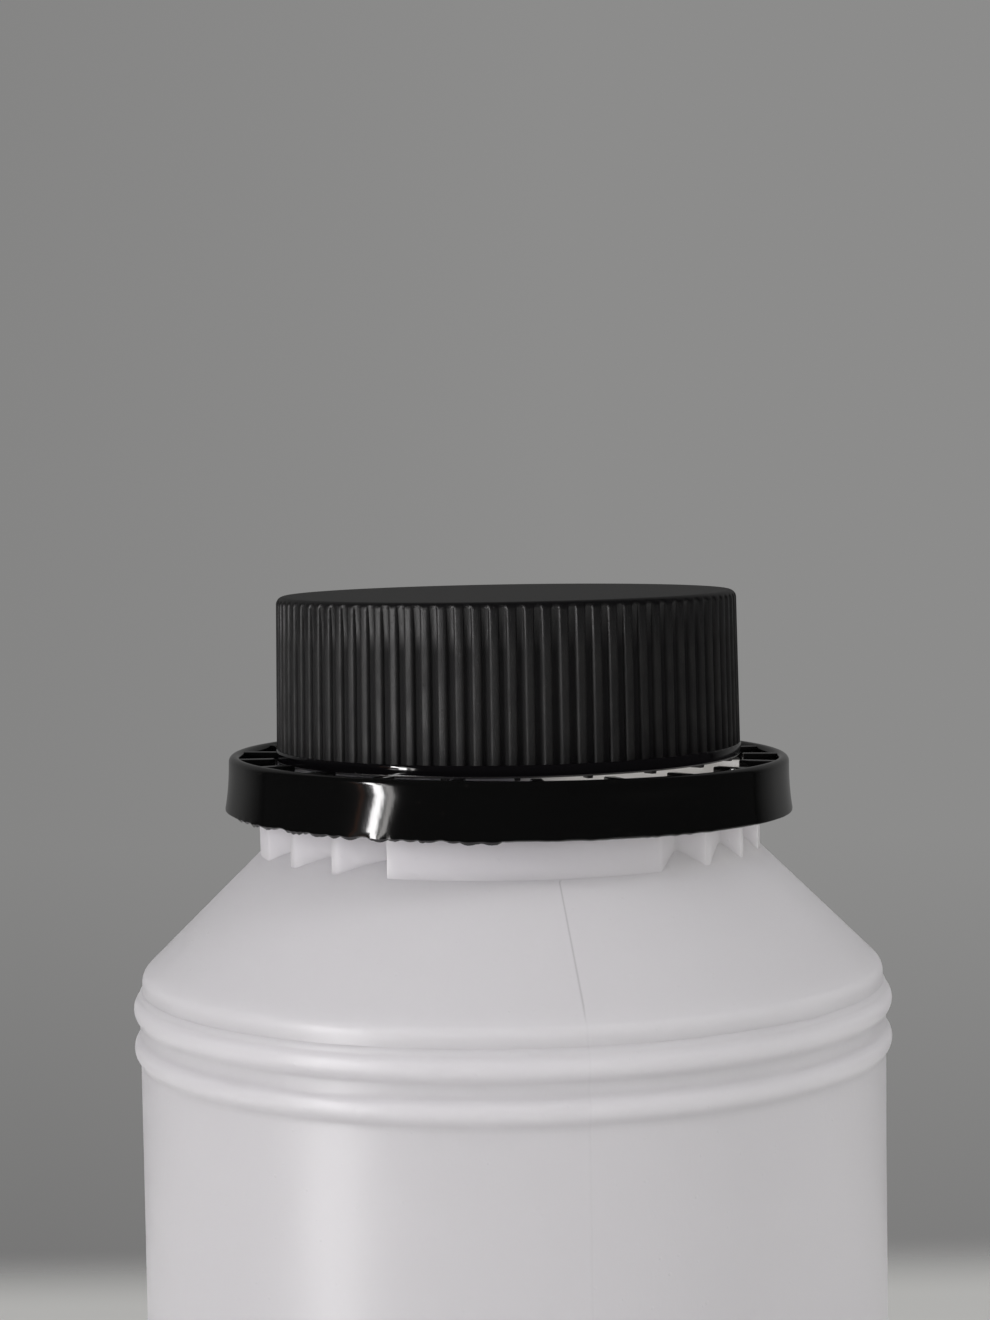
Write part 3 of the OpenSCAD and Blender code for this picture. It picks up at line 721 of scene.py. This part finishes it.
def shapeRing():
    rim = (ring["outR"] - ring["inR"]) / 2
    low = ring["rimTop"] - ring["height"]
    rows = [(ring["inR"], low + 0.25), (ring["inR"] + 0.2, low), (ring["outR"] + ring["flare"] - 0.3, low),
            (ring["outR"] + ring["flare"] - 0.02, low + 0.12)]
    rows += [(ring["outR"] + ring["flare"] * (1 - k) ** 2.2, low + 0.3 + (ring["height"] - rim - 0.3) * k)
             for k in (0, 0.08, 0.18, 0.3, 0.45, 0.62, 0.8, 1)]
    rows += arc(ring["outR"] - rim, ring["rimTop"] - rim, rim, 0, 180, 12)[1:]
    rows += [(ring["inR"], low + 3), (ring["inR"], low + 0.25)]
    bm, tag = spinRows(rows, ring["columns"], 20, 0)
    rng = random.Random(ring["flashSeed"])
    dice = [(rng.uniform(ring["flashFrom"], ring["flashTo"]), rng.uniform(0.8, 2.6),
             rng.uniform(0.4, 1.0)) for _ in range(ring["flashCount"])]
    dice += [(rng.uniform(-180, 180), rng.uniform(0.6, 2.0), rng.uniform(0.4, 1.0))
             for _ in range(ring["strayCount"])]
    for v in bm.verts:
        if v[tag] in (2, 3):
            az = azOf(v.co)
            depth = flashDepth(az, dice)
            v.co.z -= depth * (1.0 if v[tag] == 2 else 0.35)
            r = math.hypot(v.co.x, v.co.y)
            v.co = at(az, r + depth * (0.1 if v[tag] == 2 else 0.25), v.co.z)
    for i in range(ring["fins"]):
        one = bmesh.new()
        fin = bmesh.ops.create_cube(one, size=1)["verts"]
        length = ring["inR"] + 0.5 - ring["finInR"]
        bmesh.ops.scale(one, vec=(ring["finT"], length, ring["finH"]), verts=fin)
        bmesh.ops.bevel(one, geom=one.edges, offset=ring["finEdge"], offset_type="OFFSET", affect="EDGES",
                        segments=2, profile=0.5, material=-1)
        bmesh.ops.translate(one, vec=(0, -(ring["finInR"] + length / 2), ring["finH"] / 2), verts=one.verts)
        turn = Matrix.Rotation(math.radians(ring["finAz"] + i * 360 / ring["fins"]), 3, "Z")
        bmesh.ops.rotate(one, cent=(0, 0, 0), matrix=turn, verts=one.verts)
        joinPart(bm, one)
    lift = bottle["flangeR"] * math.sin(math.radians(ring["tilt"]))
    dogInR = rootR + 2 * ring["dogGap"]
    dogZ = -bottle["flangeT"] - ring["dogGap"] / 2 - ring["dogH"] - 2 * lift
    for tipAz, tip, foot, start, crestAz in teeth:
        if abs(azOf(foot) - tipAz) < 1:
            dog = bmesh.ops.create_cube(bm, size=1)["verts"]
            length = ring["inR"] + 0.3 - dogInR
            bmesh.ops.scale(bm, vec=(ring["dogW"], length, ring["dogH"]), verts=dog)
            bmesh.ops.translate(bm, vec=(-ring["dogGap"] - ring["dogW"] / 2, -(dogInR + length / 2),
                                         dogZ + ring["dogH"] / 2), verts=dog)
            bmesh.ops.rotate(bm, cent=(0, 0, 0), matrix=Matrix.Rotation(math.radians(tipAz), 3, "Z"), verts=dog)
    bmesh.ops.rotate(bm, cent=(0, 0, 0), matrix=Matrix.Rotation(math.radians(ring["tilt"]), 3, "Y"),
                     verts=bm.verts)
    bmesh.ops.translate(bm, vec=(0, 0, shelfZ + lift), verts=bm.verts)
    return makePiece(bm, "ringShell", "bottle_body", gloss, 38, "tamper_ring")


ringShell = shapeRing()

# Seal
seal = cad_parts["seal_liner"]
seal.data.materials.clear()
seal.data.materials.append(foam)
print("seal dressed")

# Stage, light and camera
stage = {"tableEdge": 0.387, "edgeSoft": 0.03, "tableTone": (0.62, 0.62, 0.61), "wallY": 1.6,
         "wallGrey": 0.236, "wallLow": 0.183, "wallRight": 1.115, "wallGloss": 0.6}


def plane(name, corners, material):
    bm = bmesh.new()
    bm.faces.new([bm.verts.new(p) for p in corners])
    mesh = bpy.data.meshes.new(name)
    bm.to_mesh(mesh)
    bm.free()
    mesh.materials.append(material)
    obj = bpy.data.objects.new(name, mesh)
    bpy.context.scene.collection.objects.link(obj)
    return obj


def wallMaterial():
    mat = bpy.data.materials.new("greyWall")
    mat.use_nodes = True
    tree = mat.node_tree
    tree.nodes.clear()
    link = tree.links.new
    out = node(tree, "ShaderNodeOutputMaterial")
    place = node(tree, "ShaderNodeTexCoord")
    split = node(tree, "ShaderNodeSeparateXYZ")
    link(place.outputs["Object"], split.inputs[0])
    rise = node(tree, "ShaderNodeMapRange", {"From Min": -0.33, "From Max": -0.04, "To Min": stage["wallLow"],
                                             "To Max": stage["wallGrey"]}, clamp=True)
    link(split.outputs["Z"], rise.inputs["Value"])
    across = node(tree, "ShaderNodeMapRange", {"From Min": -0.33, "From Max": 0.05, "To Min": 1.0,
                                               "To Max": stage["wallRight"]}, clamp=True)
    link(split.outputs["X"], across.inputs["Value"])
    ramp = node(tree, "ShaderNodeMath", operation="MULTIPLY")
    link(rise.outputs[0], ramp.inputs[0])
    link(across.outputs[0], ramp.inputs[1])
    glow = node(tree, "ShaderNodeEmission", {"Color": (1, 0.995, 0.985, 1)})
    span = node(tree, "ShaderNodeMath", operation="ABSOLUTE")
    link(split.outputs["X"], span.inputs[0])
    ends = node(tree, "ShaderNodeMapRange", {"From Min": 1.5, "From Max": 3.2, "To Min": stage["wallGloss"],
                                             "To Max": 0.0}, clamp=True)
    link(span.outputs[0], ends.inputs["Value"])
    path = node(tree, "ShaderNodeLightPath")
    level = node(tree, "ShaderNodeMapRange", {"To Max": 1.0}, clamp=True)
    link(path.outputs["Is Camera Ray"], level.inputs["Value"])
    link(ends.outputs[0], level.inputs["To Min"])
    shown = node(tree, "ShaderNodeMath", operation="MULTIPLY")
    link(ramp.outputs[0], shown.inputs[0])
    link(level.outputs[0], shown.inputs[1])
    link(shown.outputs[0], glow.inputs["Strength"])
    clear = node(tree, "ShaderNodeBsdfTransparent")
    side = node(tree, "ShaderNodeNewGeometry")
    seen = node(tree, "ShaderNodeMath", operation="MAXIMUM")
    link(path.outputs["Is Camera Ray"], seen.inputs[0])
    link(path.outputs["Is Glossy Ray"], seen.inputs[1])
    seenAll = node(tree, "ShaderNodeMath", operation="MAXIMUM")
    link(seen.outputs[0], seenAll.inputs[0])
    link(path.outputs["Is Transmission Ray"], seenAll.inputs[1])
    front = node(tree, "ShaderNodeMath", operation="SUBTRACT")
    front.inputs[0].default_value = 1.0
    link(side.outputs["Backfacing"], front.inputs[1])
    use = node(tree, "ShaderNodeMath", operation="MULTIPLY")
    link(seenAll.outputs[0], use.inputs[0])
    link(front.outputs[0], use.inputs[1])
    mix = node(tree, "ShaderNodeMixShader")
    link(use.outputs[0], mix.inputs[0])
    link(clear.outputs[0], mix.inputs[1])
    link(glow.outputs[0], mix.inputs[2])
    link(mix.outputs[0], out.inputs["Surface"])
    return mat


def tableMaterial():
    mat, tree, skin = newMaterial("paleTable", {"Roughness": 0.7, "Base Color": (*stage["tableTone"], 1)})
    link = tree.links.new
    place = node(tree, "ShaderNodeTexCoord")
    split = node(tree, "ShaderNodeSeparateXYZ")
    link(place.outputs["Object"], split.inputs[0])
    fade = node(tree, "ShaderNodeMapRange", {"From Min": stage["tableEdge"] - stage["edgeSoft"],
                                             "From Max": stage["tableEdge"] + stage["edgeSoft"],
                                             "To Min": 1.0, "To Max": 0.0}, interpolation_type="SMOOTHSTEP")
    link(split.outputs["Y"], fade.inputs["Value"])
    link(fade.outputs[0], skin.inputs["Alpha"])
    return mat


wallY = stage["wallY"]
plane("backWall", [(-3.3, wallY, -2), (3.3, wallY, -2), (3.3, wallY, 3), (-3.3, wallY, 3)], wallMaterial())
plane("tableTop", [(-1.2, -1.0, 0), (1.2, -1.0, 0), (1.2, 0.45, 0), (-1.2, 0.45, 0)], tableMaterial())


def areaLight(name, lamp):
    place = at(lamp["az"], lamp["away"], lamp["up"])
    data = bpy.data.lights.new(name, "AREA")
    data.shape = "RECTANGLE"
    data.size, data.size_y = lamp["wide"], lamp["tall"]
    data.energy = lamp["power"]
    data.color = lamp["tint"]
    light = bpy.data.objects.new(name, data)
    light.location = place
    aim = (Vector(lamp.get("target", middle)) - place).to_track_quat("-Z", "Y").to_matrix()
    light.rotation_euler = (aim @ Matrix.Rotation(math.radians(lamp.get("lean", 0)), 3, "Z")).to_euler()
    bpy.context.scene.collection.objects.link(light)
    return light


middle = (0, 0, 0.17)
lamps = {
    "stripLeft": {"az": -54.5, "away": 1.2, "up": 0.3, "wide": 0.08, "tall": 1.0, "power": 7,
                  "tint": (1.0, 0.985, 0.99), "lean": 15},
    "stripSide": {"az": -49.5, "away": 1.2, "up": 0.3, "wide": 0.05, "tall": 0.9, "power": 0.9,
                  "tint": (1.0, 0.98, 0.96), "lean": 15},
    "stripWarm": {"az": -62, "away": 1.2, "up": 0.3, "wide": 0.014, "tall": 0.8, "power": 0.03,
                  "tint": (1.0, 0.36, 0.16), "lean": 15},
    "lowCard": {"az": -53, "away": 0.37, "up": 0.04, "wide": 0.12, "tall": 0.07, "power": 0.2,
                "tint": (1.0, 0.985, 0.99), "target": (-0.02, -0.035, 0.12)},
    "softFront": {"az": 40, "away": 1.3, "up": 0.327, "wide": 0.5, "tall": 0.07, "power": 2.5,
                  "tint": (1.0, 0.99, 0.97)},
    "softRight": {"az": 52, "away": 0.9, "up": 1.25, "wide": 0.5, "tall": 0.5, "power": 4.3,
                  "tint": (1.0, 0.99, 0.98)},
}
lights = {name: areaLight(name, lamp) for name, lamp in lamps.items()}
lights["lowCard"].visible_diffuse = False  # a card beside the body, only for its sheen
for name in ("softFront", "softRight"):  # wide dim lights that leave no mark on the gloss
    lights[name].visible_glossy = False

room = {"fill": 0.55, "gloss": 0.02}
world = bpy.data.worlds.new("room")
bpy.context.scene.world = world
world.use_nodes = True
air = world.node_tree
back = air.nodes["Background"]
back.inputs["Color"].default_value = (1.0, 0.995, 0.985, 1)
ray = node(air, "ShaderNodeLightPath")
dim = node(air, "ShaderNodeMapRange", {"To Min": room["fill"], "To Max": room["gloss"]}, clamp=True)
air.links.new(ray.outputs["Is Glossy Ray"], dim.inputs["Value"])
air.links.new(dim.outputs[0], back.inputs["Strength"])

photo = {"focal": 2846.6, "tall": 1320, "sensor": 36.0, "x": -1.5, "y": -355.85, "aboveCap": 13.8,
         "pitch": 3.58, "roll": 0.98}  # focal length and height in the photo's pixels, places in mm
lens = bpy.data.cameras.new("photoCamera")
lens.sensor_width = photo["sensor"]
lens.lens = photo["focal"] / photo["tall"] * photo["sensor"]
lens.clip_start, lens.clip_end = 0.01, 50
lens.dof.use_dof = False
camera = bpy.data.objects.new("photoCamera", lens)
camera.location = (photo["x"] * mm, photo["y"] * mm, (capTop + photo["aboveCap"]) * mm)
pitched = Matrix.Rotation(math.radians(90 - photo["pitch"]), 3, "X")
camera.rotation_euler = (pitched @ Matrix.Rotation(math.radians(-photo["roll"]), 3, "Z")).to_euler()
bpy.context.scene.collection.objects.link(camera)
bpy.context.scene.camera = camera
bpy.context.scene.view_settings.view_transform = "Standard"
print("stage, light and camera ready")
